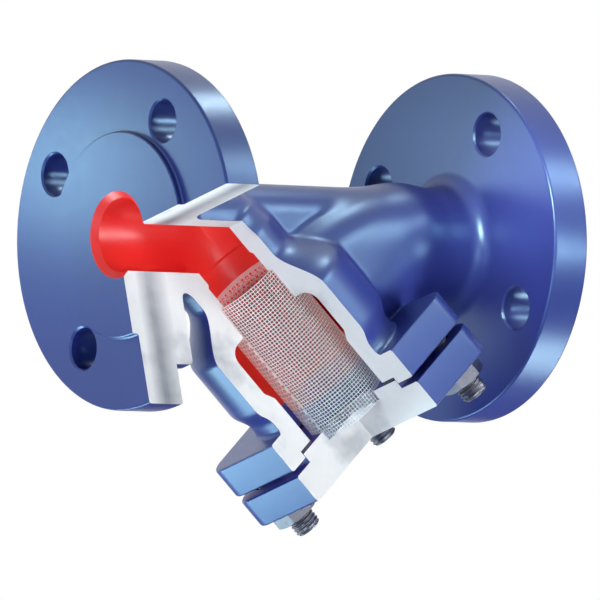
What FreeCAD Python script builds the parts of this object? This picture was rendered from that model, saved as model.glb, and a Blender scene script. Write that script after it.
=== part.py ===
import FreeCAD, Part
import math
import os
import Sketcher

# Y pattern pipe strainer with flanged ends, drawn as a cutaway: a quarter of the casting and of
# its cover is sawn away below the flow line, so that the screen shows. Lengths are millimetres
# and angles degrees. X runs along the pipe towards the outlet, Z up, and -Y towards the cut
# side. The origin is the centre of the outlet flange's bolting plane.

SIZES = [
    ("face_to_face", 200, "over both raised faces"),
    ("flange_dia", 150, "end flange"),
    ("flange_thick", 18, "disc of an end flange"),
    ("raised_dia", 88, "raised face"),
    ("raised_height", 3, "raised face, proud of the disc"),
    ("bolt_circle", 110, "bolt holes of an end flange"),
    ("bolt_hole_dia", 18, "bolt hole of an end flange"),
    ("bolt_count", 4, "bolt holes of an end flange"),
    ("port_dia", 32, "cast passage in both legs"),
    ("mouth_chamfer", 2.7, "chamfer where a passage meets a raised face"),
    ("inlet_tube_dia", 49, "outside of the inlet leg"),
    ("outlet_tube_dia", 51, "outside of the outlet leg"),
    ("hub_fillet", 7.5, "from a leg to the back of its flange"),
    ("branch_angle", 50, "branch, below the pipe axis"),
    ("elbow_setback", 48.5, "inlet face to the crossing of the axes"),
    ("elbow_dia", 54, "outside of the branch under the elbow"),
    ("elbow_start", 10, "where the branch has grown to that size"),
    ("elbow_reach", 19, "where the branch starts to swell to its belly"),
    ("belly_dia", 82, "outside of the branch round the chamber"),
    ("belly_start", 41.5, "where the full belly begins"),
    ("belly_end", 66, "where the full belly ends"),
    ("neck_dia", 75, "neck above the body flange"),
    ("neck_start", 76, "where the neck begins"),
    ("throat_start", 14, "where the passage opens towards the seat"),
    ("throat_dia", 34.6, "passage just above the seat"),
    ("seat_depth", 25.3, "shoulder that the screen stands against"),
    ("guide_dia", 39.6, "bore that centres the screen"),
    ("guide_end", 41, "end of that bore, and top of the chamber"),
    ("chamber_dia", 62, "chamber round the screen"),
    ("chamber_round", 6, "rounding at the top of the chamber"),
    ("chamber_full", 64, "where the chamber starts to narrow"),
    ("chamber_narrow", 69, "where the chamber has narrowed"),
    ("chamber_mouth_dia", 56, "chamber at the body flange"),
    ("flange_depth", 81.3, "top of the square body flange"),
    ("square_width", 93, "body flange and cover, across the flats"),
    ("square_round", 11, "corner of the body flange and of the cover"),
    ("body_flange_thick", 15, "square body flange"),
    ("recess_dia", 72, "recess for the gasket in the body flange"),
    ("recess_height", 3.3, "depth of that recess"),
    ("gasket_thick", 1.6, "cover gasket"),
    ("gasket_gap", 0.3, "round the gasket and round the spigot"),
    ("joint_gap", 2.8, "daylight between body flange and cover"),
    ("cover_thick", 14, "plate of the cover"),
    ("socket_depth", 4.8, "socket in the cover for the screen's foot"),
    ("screen_gap", 0.3, "round the screen in its bore and socket"),
    ("basket_wall", 0.8, "perforated sheet of the support basket"),
    ("sleeve_wall", 0.7, "woven wire sleeve"),
    ("sleeve_gap", 0.1, "between basket and sleeve"),
    ("stud_circle", 92, "cover studs"),
    ("stud_count", 4, "studs of a whole cover, one of them sawn away"),
    ("stud_dia", 12, "cover stud"),
    ("stud_blind", 12, "thread of a stud in the body flange"),
    ("stud_tail", 7.5, "stud past its nut"),
    ("stud_hole_dia", 14, "hole in the cover for a stud"),
    ("thread_gap", 0.05, "between stud and thread"),
    ("nut_width", 18, "across flats"),
    ("nut_height", 6.5, "nut"),
    ("turn_setback", 50, "outlet face to the turn in the outlet passage"),
    ("drop_angle", 31, "fall of the outlet passage to the chamber"),
    ("drop_reach", 47, "length of the falling leg's outside"),
    ("bend_radius", 100, "crown of the outlet leg, over the falling passage"),
    ("bend_angle", 45, "turn of that crown"),
    ("spine_width", 35, "web that joins the legs over the branch"),
    ("pad_length", 9, "stiffening pad behind the inlet flange, along the pipe"),
    ("pad_width", 16, "that pad, across the pipe"),
    ("pad_reach", 57, "that pad, down from the pipe axis"),
]

doc = FreeCAD.newDocument("pipe_strainer")
sheet = doc.addObject("Spreadsheet::Sheet", "Sizes")
for row, (alias, value, note) in enumerate(SIZES, start=1):
    sheet.set(f"A{row}", note)
    sheet.set(f"B{row}", str(value))
    sheet.setAlias(f"B{row}", alias)
doc.recompute()


class Term:
    """A number that also knows how it is worked out from the sheet."""

    def __init__(self, value, text):
        self.value = value
        self.text = text

    def join(self, other, sign, result):
        return Term(result, f"({self.text} {sign} {term(other).text})")

    def __add__(self, other):
        return self.join(other, "+", self.value + term(other).value)

    def __sub__(self, other):
        return self.join(other, "-", self.value - term(other).value)

    def __mul__(self, other):
        return self.join(other, "*", self.value * term(other).value)

    def __truediv__(self, other):
        return self.join(other, "/", self.value / term(other).value)

    def __radd__(self, other):
        return term(other) + self

    def __rsub__(self, other):
        return term(other) - self

    def __rmul__(self, other):
        return term(other) * self

    def __neg__(self):
        return term(0) - self


def term(number):
    if isinstance(number, Term):
        return number
    return Term(float(number), repr(float(number)))


def cosine(angle):
    return Term(math.cos(math.radians(angle.value)), f"cos({angle.text} * 1 deg)")


def sine(angle):
    return Term(math.sin(math.radians(angle.value)), f"sin({angle.text} * 1 deg)")


size = {alias: Term(value, f"Sizes.{alias}") for alias, value, note in SIZES}

# Stations along the pipe, seen from the origin, and along the branch, seen from the elbow
inlet_face = size["raised_height"] - size["face_to_face"]
elbow_x = inlet_face + size["elbow_setback"]
outlet_face = size["raised_height"]
turn_x = outlet_face - size["turn_setback"]
flange_end = size["flange_depth"] + size["body_flange_thick"]
recess_floor = flange_end - size["recess_height"]
spigot_face = recess_floor + size["gasket_thick"]
cover_top = flange_end + size["joint_gap"]
cover_end = cover_top + size["cover_thick"]
socket_floor = spigot_face + size["socket_depth"]
nut_end = cover_end + size["nut_height"]
branch_cos = cosine(size["branch_angle"])
branch_sin = sine(size["branch_angle"])
CLEAR = 20.0


def bind(thing, name, number):
    """Set a property and tie it to the sheet."""
    number = term(number)
    thing.setExpression(name, number.text)


def place(thing, x=0, y=0, z=0, axis=(0, 0, 1), angle=0):
    """Move a thing to a place worked out from the sheet and turn it about one axis."""
    x, y, z, angle = term(x), term(y), term(z), term(angle)
    spot = FreeCAD.Vector(x.value, y.value, z.value)
    thing.Placement = FreeCAD.Placement(spot, FreeCAD.Rotation(FreeCAD.Vector(*axis), angle.value))
    for letter, number in (("x", x), ("y", y), ("z", z)):
        bind(thing, f"Placement.Base.{letter}", number)
    bind(thing, "Placement.Rotation.Angle", angle)


def place_on_branch(thing):
    """Turn a thing drawn along X onto the branch: its X then runs down the branch."""
    place(thing, x=elbow_x, axis=(0, 1, 0), angle=size["branch_angle"])


def new_body(name):
    body = doc.addObject("PartDesign::Body", name)
    body.Label = name
    return body


def new_sketch(body, role, name):
    """A sketch on one of the body's own origin planes."""
    plane = [one for one in body.Origin.OriginFeatures if one.Role == role][0]
    sketch = body.newObject("Sketcher::SketchObject", name)
    sketch.AttachmentSupport = (plane, [""])
    sketch.MapMode = "FlatFace"
    return sketch


def vector(point):
    return FreeCAD.Vector(term(point[0]).value, term(point[1]).value, 0)


def fix(sketch, kind, edge, end, number):
    """Hold one end of an edge at a distance from the sketch's origin."""
    number = term(number)
    if abs(number.value) < 1e-9:
        axis = -2 if kind == "DistanceX" else -1
        sketch.addConstraint(Sketcher.Constraint("PointOnObject", edge, end, axis))
        return
    index = sketch.addConstraint(Sketcher.Constraint(kind, -1, 1, edge, end, number.value))
    bind(sketch, f"Constraints[{index}]", number)


def arc_middle(start, end, radius, side):
    """The middle of an arc from start to end: side is +1 when it bulges to the left."""
    chord = end - start
    half = chord.Length / 2
    rise = radius - math.sqrt(max(radius * radius - half * half, 0.0))
    left = FreeCAD.Vector(-chord.y, chord.x, 0)
    left.normalize()
    return (start + end) / 2 + left * (side * rise)


def outline(sketch, points):
    """A closed outline. A point is (x, y), or (x, y, radius, side) if an arc leads to it."""
    total = len(points)
    for index in range(total):
        start = vector(points[index - 1])
        end = vector(points[index])
        if len(points[index]) == 2:
            sketch.addGeometry(Part.LineSegment(start, end))
            continue
        radius = term(points[index][2])
        middle = arc_middle(start, end, radius.value, points[index][3])
        sketch.addGeometry(Part.Arc(start, middle, end))
    ends = []
    for index in range(total):
        flipped = (sketch.getPoint(index, 1) - vector(points[index - 1])).Length > 1e-6
        ends.append((2, 1) if flipped else (1, 2))
    for index in range(total):
        following = (index + 1) % total
        joint = Sketcher.Constraint("Coincident", index, ends[index][1], following, ends[following][0])
        sketch.addConstraint(joint)
        fix(sketch, "DistanceX", index, ends[index][1], points[index][0])
        fix(sketch, "DistanceY", index, ends[index][1], points[index][1])
        if len(points[index]) == 4:
            radius = term(points[index][2])
            held = sketch.addConstraint(Sketcher.Constraint("Radius", index, radius.value))
            bind(sketch, f"Constraints[{held}]", radius)


def circle(sketch, x, y, radius):
    radius = term(radius)
    edge = sketch.addGeometry(Part.Circle(vector((x, y)), FreeCAD.Vector(0, 0, 1), radius.value))
    fix(sketch, "DistanceX", edge, 3, x)
    fix(sketch, "DistanceY", edge, 3, y)
    held = sketch.addConstraint(Sketcher.Constraint("Radius", edge, radius.value))
    bind(sketch, f"Constraints[{held}]", radius)


def revolve(body, name, points, kind="PartDesign::Revolution"):
    """Turn an outline drawn in the XZ plane about the X axis."""
    sketch = new_sketch(body, "XZ_Plane", name + "_outline")
    outline(sketch, points)
    doc.recompute()
    feature = body.newObject(kind, name)
    feature.Profile = sketch
    feature.ReferenceAxis = (sketch, ["H_Axis"])
    feature.Angle = 360
    body.Tip = feature
    doc.recompute()
    return feature


def pad_or_pocket(body, kind, name, draw, start, length):
    """Run a sketch from a station along X for a length: the sketch lies in the YZ plane."""
    sketch = new_sketch(body, "YZ_Plane", name + "_outline")
    draw(sketch)
    bind(sketch, "AttachmentOffset.Base.z", start)
    doc.recompute()
    before = body.Shape.Volume if body.Shape and not body.Shape.isNull() else 0.0
    feature = body.newObject(kind, name)
    feature.Profile = sketch
    bind(feature, "Length", length)
    body.Tip = feature
    if kind == "PartDesign::Pocket":
        feature.Reversed = True
    doc.recompute()
    change = body.Shape.Volume - before
    if (kind == "PartDesign::Pad") != (change > 0) or abs(change) < 1e-3:
        raise RuntimeError(f"{name} changed the volume by {change}")
    return feature


def polar(body, feature, count):
    """Repeat a feature about the X axis."""
    pattern = body.newObject("PartDesign::PolarPattern", feature.Name + "_pattern")
    pattern.Originals = [feature]
    line = [one for one in body.Origin.OriginFeatures if one.Role == "X_Axis"][0]
    pattern.Axis = (line, [""])
    pattern.Angle = 360
    bind(pattern, "Occurrences", count)
    body.Tip = pattern
    doc.recompute()
    return pattern


def dress_edges(body, kind, name, width, wanted):
    """Fillet or chamfer the edges that a test picks out."""
    base = body.Tip
    names = [f"Edge{n}" for n, edge in enumerate(base.Shape.Edges, start=1) if wanted(edge)]
    feature = body.newObject(kind, name)
    feature.Base = (base, names)
    bind(feature, "Radius" if kind == "PartDesign::Fillet" else "Size", width)
    body.Tip = feature
    doc.recompute()
    return feature


def along_x(edge):
    ends = edge.Vertexes
    if len(ends) != 2 or edge.Curve.TypeId != "Part::GeomLine":
        return False
    run = ends[1].Point - ends[0].Point
    return abs(run.x) > 0.99 * run.Length


def is_circle(edge):
    return edge.Curve.TypeId == "Part::GeomCircle"


def square(sketch, width):
    half = width / 2
    outline(sketch, [(-half, -half), (half, -half), (half, half), (-half, half)])


def primitive(kind, name, sizes):
    thing = doc.addObject(kind, name)
    for prop, number in sizes.items():
        bind(thing, prop, number)
    return thing


def fused(name, things):
    whole = doc.addObject("Part::MultiFuse", name)
    whole.Shapes = things
    whole.Refine = True
    return whole


def cut(name, base, tool):
    result = doc.addObject("Part::Cut", name)
    result.Base = base
    result.Tool = tool
    return result


def s_curve(start, end):
    """Two tangent arcs that carry an outline from one level to another, both ends level."""
    run = end[0] - start[0]
    rise = end[1] - start[1]
    side = 1 if rise.value > 0 else -1
    radius = (run * run + rise * rise) / (4 * rise * side)
    middle = ((start[0] + end[0]) / 2, (start[1] + end[1]) / 2)
    return [(*middle, radius, -side), (*end, radius, side)]


# Casting, outside


def flanged_leg(name, tube_dia, length):
    """An end flange with its leg, drawn from the raised face inwards."""
    body = new_body(name)
    disc = size["raised_height"] + size["flange_thick"]
    tube = tube_dia / 2
    hub = tube + size["hub_fillet"]
    revolve(body, name + "_turned", [
        (0, 0),
        (0, size["raised_dia"] / 2),
        (size["raised_height"], size["raised_dia"] / 2),
        (size["raised_height"], size["flange_dia"] / 2),
        (disc, size["flange_dia"] / 2),
        (disc, hub),
        (disc + size["hub_fillet"], tube, size["hub_fillet"], -1),
        (length, tube),
        (length, 0),
    ])
    across = size["bolt_circle"] / 2 * cosine(term(45))
    hole = pad_or_pocket(
        body, "PartDesign::Pocket", name + "_hole",
        lambda sketch: circle(sketch, across, across, size["bolt_hole_dia"] / 2),
        0, disc)
    polar(body, hole, size["bolt_count"])
    return body


inlet_leg = flanged_leg("inlet_leg", size["inlet_tube_dia"], size["elbow_setback"])
place(inlet_leg, x=inlet_face)

outlet_leg = flanged_leg("outlet_leg", size["outlet_tube_dia"], size["turn_setback"])
place(outlet_leg, x=outlet_face, angle=180)

elbow_ball = primitive("Part::Sphere", "elbow_ball", {"Radius": size["inlet_tube_dia"] / 2})
place(elbow_ball, x=elbow_x)

turn_ball = primitive("Part::Sphere", "turn_ball", {"Radius": size["outlet_tube_dia"] / 2})
place(turn_ball, x=turn_x)

drop_leg = primitive("Part::Cylinder", "drop_leg", {
    "Radius": size["outlet_tube_dia"] / 2,
    "Height": size["drop_reach"],
})
place(drop_leg, x=turn_x, axis=(0, 1, 0), angle=-(90 + size["drop_angle"]))

# The crown is a piece of a ring whose centre lies under the turn
crown = primitive("Part::Torus", "crown", {
    "Radius1": size["bend_radius"],
    "Radius2": size["outlet_tube_dia"] / 2,
    "Angle3": size["bend_angle"],
})
crown_turn = FreeCAD.Rotation(FreeCAD.Vector(1, 0, 0), 90) * FreeCAD.Rotation(FreeCAD.Vector(0, 0, 1), 90)
crown.Placement = FreeCAD.Placement(FreeCAD.Vector(0, 0, 0), crown_turn)
bind(crown, "Placement.Base.x", turn_x)
bind(crown, "Placement.Base.z", -size["bend_radius"])

branch_outside = new_body("branch_outside")
elbow_level = (size["elbow_reach"], size["elbow_dia"] / 2)
belly_level = (size["belly_start"], size["belly_dia"] / 2)
belly_last = (size["belly_end"], size["belly_dia"] / 2)
neck_level = (size["neck_start"], size["neck_dia"] / 2)
revolve(branch_outside, "branch_turned", [
    (0, 0),
    (0, size["inlet_tube_dia"] / 2),
    (size["elbow_start"], size["elbow_dia"] / 2),
    elbow_level,
    *s_curve(elbow_level, belly_level),
    belly_last,
    neck_level,
    (flange_end, size["neck_dia"] / 2),
    (flange_end, 0),
])
place_on_branch(branch_outside)

body_flange = new_body("body_flange")
pad_or_pocket(
    body_flange, "PartDesign::Pad", "body_flange_plate",
    lambda sketch: square(sketch, size["square_width"]),
    size["flange_depth"], size["body_flange_thick"])
dress_edges(body_flange, "PartDesign::Fillet", "body_flange_corners", size["square_round"], along_x)
place_on_branch(body_flange)

spine = new_body("spine")
spine_half = size["spine_width"] / 2
spine_side = size["inlet_tube_dia"] / 2 - spine_half


def draw_spine(sketch):
    outline(sketch, [
        (spine_half, spine_side),
        (0, spine_side + spine_half, spine_half, -1),
        (-spine_half, spine_side, spine_half, -1),
        (-spine_half, -spine_side),
        (0, -spine_side - spine_half, spine_half, -1),
        (spine_half, -spine_side, spine_half, -1),
    ])


pad_or_pocket(spine, "PartDesign::Pad", "spine_web", draw_spine, 0, turn_x - elbow_x)
place(spine, x=elbow_x)

pad = primitive("Part::Box", "pad", {
    "Length": size["pad_length"] + 1,
    "Width": size["pad_width"],
    "Height": size["pad_reach"],
})
place(
    pad,
    x=inlet_face + size["raised_height"] + size["flange_thick"] - 1,
    y=-size["pad_width"] / 2,
    z=-size["pad_reach"])

casting_outside = fused("casting_outside", [
    inlet_leg, outlet_leg, elbow_ball, turn_ball, drop_leg, crown, branch_outside, body_flange, spine, pad,
])

# Casting, inside


def port(name, length):
    """The passage from a raised face inwards, with its chamfered mouth."""
    body = new_body(name)
    wall = size["port_dia"] / 2
    mouth = wall + size["mouth_chamfer"]
    revolve(body, name + "_turned", [
        (-CLEAR, 0),
        (-CLEAR, mouth),
        (0, mouth),
        (size["mouth_chamfer"], wall),
        (length, wall),
        (length, 0),
    ])
    return body


inlet_port = port("inlet_port", size["elbow_setback"])
place(inlet_port, x=inlet_face)
outlet_port = port("outlet_port", size["turn_setback"])
place(outlet_port, x=outlet_face, angle=180)

elbow_hollow = primitive("Part::Sphere", "elbow_hollow", {"Radius": size["port_dia"] / 2})
place(elbow_hollow, x=elbow_x)
turn_hollow = primitive("Part::Sphere", "turn_hollow", {"Radius": size["port_dia"] / 2})
place(turn_hollow, x=turn_x)
# The falling passage ends inside the chamber
drop_hollow = primitive("Part::Cylinder", "drop_hollow", {
    "Radius": size["port_dia"] / 2,
    "Height": size["drop_reach"] + 6,
})
place(drop_hollow, x=turn_x, axis=(0, 1, 0), angle=-(90 + size["drop_angle"]))

branch_inside = new_body("branch_inside")
throat_step = (size["throat_dia"] - size["port_dia"]) / 2
revolve(branch_inside, "branch_bored", [
    (0, 0),
    (0, size["port_dia"] / 2),
    (size["throat_start"], size["port_dia"] / 2),
    (size["throat_start"] + throat_step, size["throat_dia"] / 2),
    (size["seat_depth"], size["throat_dia"] / 2),
    (size["seat_depth"], size["guide_dia"] / 2),
    (size["guide_end"], size["guide_dia"] / 2),
    (size["guide_end"], size["chamber_dia"] / 2 - size["chamber_round"]),
    (size["guide_end"] + size["chamber_round"], size["chamber_dia"] / 2, size["chamber_round"], 1),
    (size["chamber_full"], size["chamber_dia"] / 2),
    (size["chamber_narrow"], size["chamber_mouth_dia"] / 2),
    (recess_floor, size["chamber_mouth_dia"] / 2),
    (recess_floor, size["recess_dia"] / 2),
    (flange_end + CLEAR, size["recess_dia"] / 2),
    (flange_end + CLEAR, 0),
])
place_on_branch(branch_inside)

stud_across = size["stud_circle"] / 2 * cosine(term(45))


def stud_bores(name, radius, start, length):
    """Four round bars on the stud circle, to be taken out of a piece."""
    body = new_body(name)
    bar = pad_or_pocket(
        body, "PartDesign::Pad", name + "_bar",
        lambda sketch: circle(sketch, stud_across, stud_across, radius),
        start, length)
    polar(body, bar, size["stud_count"])
    place_on_branch(body)
    return body


blind_bores = stud_bores(
    "blind_bores", size["stud_dia"] / 2 + size["thread_gap"],
    flange_end - size["stud_blind"], size["stud_blind"] + CLEAR)

casting_inside = fused("casting_inside", [
    inlet_port, outlet_port, elbow_hollow, turn_hollow, drop_hollow, branch_inside, blind_bores,
])

# The sawn quarter: in front of the pipe's middle plane and under the bent flow line
window = new_body("window")
window_reach = nut_end + 2 * CLEAR
window_sketch = new_sketch(window, "XZ_Plane", "window_outline")
outline(window_sketch, [
    (inlet_face - CLEAR, 0),
    (elbow_x, 0),
    (elbow_x + window_reach * branch_cos, -window_reach * branch_sin),
    (inlet_face - CLEAR, -window_reach * branch_sin),
])
doc.recompute()
window_block = window.newObject("PartDesign::Pad", "window_block")
window_block.Profile = window_sketch
bind(window_block, "Length", size["flange_dia"])
window.Tip = window_block
doc.recompute()
if window.Shape.BoundBox.YMin > -1:
    raise RuntimeError("the sawn quarter lies on the wrong side")

hollow_casting = cut("hollow_casting", casting_outside, casting_inside)
casting = cut("casting", hollow_casting, window)
casting.Label = "body"

# Cover, gasket


def sawn_quarter(body, name, start, length):
    """Saw the same quarter off a piece that is drawn along the branch."""
    reach = size["square_width"]
    pad_or_pocket(
        body, "PartDesign::Pocket", name,
        lambda sketch: outline(sketch, [(0, 0), (-reach, 0), (-reach, -reach), (0, -reach)]),
        start, length)


cover = new_body("cover")
pad_or_pocket(
    cover, "PartDesign::Pad", "cover_plate",
    lambda sketch: square(sketch, size["square_width"]), cover_top, size["cover_thick"])
dress_edges(cover, "PartDesign::Fillet", "cover_corners", size["square_round"], along_x)
revolve(cover, "cover_spigot", [
    (spigot_face, 0),
    (spigot_face, size["recess_dia"] / 2 - size["gasket_gap"]),
    (cover_top + 1, size["recess_dia"] / 2 - size["gasket_gap"]),
    (cover_top + 1, 0),
])
revolve(cover, "cover_socket", [
    (spigot_face - 1, 0),
    (spigot_face - 1, size["guide_dia"] / 2),
    (socket_floor, size["guide_dia"] / 2),
    (socket_floor, 0),
], kind="PartDesign::Groove")
cover_hole = pad_or_pocket(
    cover, "PartDesign::Pocket", "cover_hole",
    lambda sketch: circle(sketch, stud_across, stud_across, size["stud_hole_dia"] / 2),
    cover_top, size["cover_thick"])
polar(cover, cover_hole, size["stud_count"])
sawn_quarter(cover, "cover_window", spigot_face - CLEAR, 2 * CLEAR + cover_end - spigot_face)
place_on_branch(cover)

gasket = new_body("cover_gasket")
revolve(gasket, "gasket_ring", [
    (recess_floor, size["chamber_mouth_dia"] / 2),
    (recess_floor, size["recess_dia"] / 2 - size["gasket_gap"]),
    (spigot_face, size["recess_dia"] / 2 - size["gasket_gap"]),
    (spigot_face, size["chamber_mouth_dia"] / 2),
])
sawn_quarter(gasket, "gasket_window", recess_floor - CLEAR, 2 * CLEAR)
place_on_branch(gasket)

# Screen: a woven wire sleeve stands inside a perforated basket, which is shown as its back half
basket_outer = size["guide_dia"] / 2 - size["screen_gap"]
basket_inner = basket_outer - size["basket_wall"]
sleeve_outer = basket_inner - size["sleeve_gap"]
sleeve_inner = sleeve_outer - size["sleeve_wall"]


def tube(name, inner, outer):
    body = new_body(name)
    revolve(body, name + "_wall", [
        (size["seat_depth"], inner),
        (size["seat_depth"], outer),
        (socket_floor, outer),
        (socket_floor, inner),
    ])
    return body


sleeve = tube("mesh_sleeve", sleeve_inner, sleeve_outer)
place_on_branch(sleeve)

basket = tube("support_basket", basket_inner, basket_outer)
half = size["guide_dia"]
pad_or_pocket(
    basket, "PartDesign::Pocket", "basket_window",
    lambda sketch: outline(sketch, [(0, half), (-half, half), (-half, -half), (0, -half)]),
    size["seat_depth"], socket_floor - size["seat_depth"])
place_on_branch(basket)

# Studs and nuts, one of each at every corner that is left


def stud(name, y, z):
    body = new_body(name)
    start = flange_end - size["stud_blind"]
    pad_or_pocket(
        body, "PartDesign::Pad", name + "_shank",
        lambda sketch: circle(sketch, y, z, size["stud_dia"] / 2),
        start, nut_end + size["stud_tail"] - start)
    dress_edges(body, "PartDesign::Chamfer", name + "_ends", size["stud_dia"] / 12, is_circle)
    place_on_branch(body)
    return body


def nut(name, y, z):
    """A hexagon nut: the hexagon is cut to a cone at its outer end, and bored for the stud."""
    body = new_body(name + "_hexagon")
    flat = size["nut_width"] / 2
    corner = size["nut_width"] / 2 / cosine(term(30))

    def draw(sketch):
        outline(sketch, [
            (y + corner * cosine(term(60 * k)), z + corner * sine(term(60 * k))) for k in range(6)
        ])

    pad_or_pocket(body, "PartDesign::Pad", name + "_prism", draw, cover_end, size["nut_height"])
    bore = size["stud_dia"] / 2 + size["thread_gap"]
    pad_or_pocket(
        body, "PartDesign::Pocket", name + "_bore",
        lambda sketch: circle(sketch, y, z, bore), cover_end, size["nut_height"])
    crown_cone = primitive("Part::Cone", name + "_crown", {
        "Radius1": corner + 8 * (corner - flat),
        "Radius2": flat,
        "Height": 5 * (corner - flat),
    })
    place(crown_cone, x=nut_end - 5 * (corner - flat), y=y, z=z, axis=(0, 1, 0), angle=90)
    sleeve_bar = primitive("Part::Cylinder", name + "_stock", {"Radius": 2 * corner, "Height": size["nut_height"]})
    place(sleeve_bar, x=cover_end - 5 * (corner - flat), y=y, z=z, axis=(0, 1, 0), angle=90)
    envelope = fused(name + "_envelope", [crown_cone, sleeve_bar])
    whole = doc.addObject("Part::Common", name + "_whole")
    whole.Base = body
    whole.Tool = envelope
    whole.Label = name
    place_on_branch(whole)
    return whole


corners = {
    "back_lower": (stud_across, -stud_across),
    "back_upper": (stud_across, stud_across),
    "front_upper": (-stud_across, stud_across),
}
studs = [stud("stud_" + corner, *spot) for corner, spot in corners.items()]
nuts = [nut("nut_" + corner, *spot) for corner, spot in corners.items()]

doc.recompute()

parts = [casting, cover, gasket, sleeve, basket, *studs, *nuts]
for thing in doc.Objects:
    if "Invalid" in thing.State or "Error" in thing.State:
        raise RuntimeError(f"{thing.Label} failed: {thing.State}")
for part in parts:
    if part.Shape.isNull() or not part.Shape.isValid():
        raise RuntimeError(f"{part.Label} has no valid shape")

os.makedirs("parts", exist_ok=True)
for part in parts:
    part.Shape.exportStep(f"parts/{part.Label}.step")
    box = part.Shape.BoundBox
    print(part.Label, len(part.Shape.Solids), round(part.Shape.Volume, 1),
          [round(v, 2) for v in (box.XMin, box.YMin, box.ZMin, box.XMax, box.YMax, box.ZMax)])
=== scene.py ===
import math

import bmesh
import bpy
import numpy as np
from mathutils import Matrix, Vector


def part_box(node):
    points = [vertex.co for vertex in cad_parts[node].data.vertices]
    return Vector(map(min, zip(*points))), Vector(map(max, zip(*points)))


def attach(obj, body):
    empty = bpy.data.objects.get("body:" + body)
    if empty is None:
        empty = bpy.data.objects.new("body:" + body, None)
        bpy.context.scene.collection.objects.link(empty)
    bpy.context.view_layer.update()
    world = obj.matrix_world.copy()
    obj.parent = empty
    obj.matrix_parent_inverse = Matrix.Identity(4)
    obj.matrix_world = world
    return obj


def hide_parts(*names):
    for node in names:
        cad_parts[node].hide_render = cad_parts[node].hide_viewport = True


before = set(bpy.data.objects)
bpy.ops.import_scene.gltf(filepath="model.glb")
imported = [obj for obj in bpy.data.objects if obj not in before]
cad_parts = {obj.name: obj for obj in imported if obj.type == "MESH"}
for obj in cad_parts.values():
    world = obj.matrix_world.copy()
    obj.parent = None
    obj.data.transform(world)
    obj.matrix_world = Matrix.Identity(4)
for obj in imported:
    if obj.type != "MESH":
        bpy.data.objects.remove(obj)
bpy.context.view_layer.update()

# Lengths in this script are millimetres and MM turns them into metres. The main sizes are read
# from the solids, and the rest repeat the casting's own dimensions.

MM = 0.001
body_low, body_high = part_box("body")
INLET_FACE = body_low.x / MM
OUTLET_FACE = body_high.x / MM
FLANGE_R = body_high.y / MM
RAISED_R = 44.0
RAISED_HEIGHT = 3.0
FLANGE_THICK = 18.0
BOLT_CIRCLE_R = 55.0
BOLT_HOLE_R = 9.0
PORT_R = 16.0
MOUTH_CHAMFER = 2.7
INLET_TUBE_R = 24.5
OUTLET_TUBE_R = 25.5
BRANCH_ANGLE = math.radians(50)
ELBOW_X = INLET_FACE + 48.5
TURN_X = OUTLET_FACE - 50.0
DROP_ANGLE = math.radians(31)
DROP_REACH = 47.0
BEND_R = 100.0
BEND_ANGLE = math.radians(45)
SPINE_HALF = 17.5
BRANCH_OUTSIDE = [(0, 24.5), (10, 27), (19, 27), (41.5, 41), (66, 41), (76, 37.5), (100, 37.5)]
THROAT_START = 14.0
THROAT_R = 17.3
SEAT_DEPTH = 25.3
GUIDE_R = 19.8
GUIDE_END = 41.0
CHAMBER_R = 31.0
CHAMBER_ROUND = 6.0
CHAMBER_FULL = 64.0
CHAMBER_NARROW = 69.0
CHAMBER_MOUTH_R = 28.0
FLANGE_DEPTH = 81.3
FLANGE_END = FLANGE_DEPTH + 15.0
SQUARE_HALF = 46.5
SQUARE_ROUND = 11.0
RECESS_R = 36.0
RECESS_FLOOR = FLANGE_END - 3.3
SPIGOT_FACE = RECESS_FLOOR + 1.6
COVER_TOP = FLANGE_END + 2.8
COVER_END = COVER_TOP + 14.0
SOCKET_FLOOR = SPIGOT_FACE + 4.8
SPIGOT_GAP = 0.3
STUD_OFFSET = 46.0 * math.cos(math.radians(45))
STUD_R = 6.0
STUD_HOLE_R = 7.0
NUT_FLAT = 9.0
NUT_HEIGHT = 6.5
STUD_END = COVER_END + NUT_HEIGHT + 7.5
BASKET_OUTER = GUIDE_R - 0.3
BASKET_INNER = BASKET_OUTER - 0.4
SLEEVE_MIDDLE = BASKET_INNER - 0.6
PAD_LENGTH = 9.0
PAD_HALF = 8.0
PAD_REACH = 57.0
HUB_DISC_R = 46.0
HUB_FILLET = 7.5
EDGE = 0.9
CORNERS = {
    "back_lower": (STUD_OFFSET, -STUD_OFFSET),
    "back_upper": (STUD_OFFSET, STUD_OFFSET),
    "front_upper": (-STUD_OFFSET, STUD_OFFSET),
}

COS_B, SIN_B = math.cos(BRANCH_ANGLE), math.sin(BRANCH_ANGLE)
TO_BRANCH = Matrix.Translation((ELBOW_X, 0, 0)) @ Matrix.Rotation(BRANCH_ANGLE, 4, "Y")
ALONG_BRANCH = (COS_B, 0, -SIN_B)
ACROSS_BRANCH = (SIN_B, 0, COS_B)


def from_elbow(x, z):
    """How far points lie from the elbow, along the branch and square to it in the middle plane."""
    return (x - ELBOW_X) * COS_B - z * SIN_B, (x - ELBOW_X) * SIN_B + z * COS_B


# Mesh helpers


def new_object(name, verts, faces, matrix=None):
    """A mesh object from points in millimetres."""
    mesh = bpy.data.meshes.new(name)
    mesh.from_pydata([tuple(v) for v in verts], [], [tuple(f) for f in faces])
    if matrix is not None:
        mesh.transform(matrix)
    mesh.transform(Matrix.Scale(MM, 4))
    mesh.update()
    thing = bpy.data.objects.new(name, mesh)
    bpy.context.scene.collection.objects.link(thing)
    return thing


def outward(thing):
    bm = bmesh.new()
    bm.from_mesh(thing.data)
    bmesh.ops.recalc_face_normals(bm, faces=bm.faces)
    bm.to_mesh(thing.data)
    bm.free()


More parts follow.
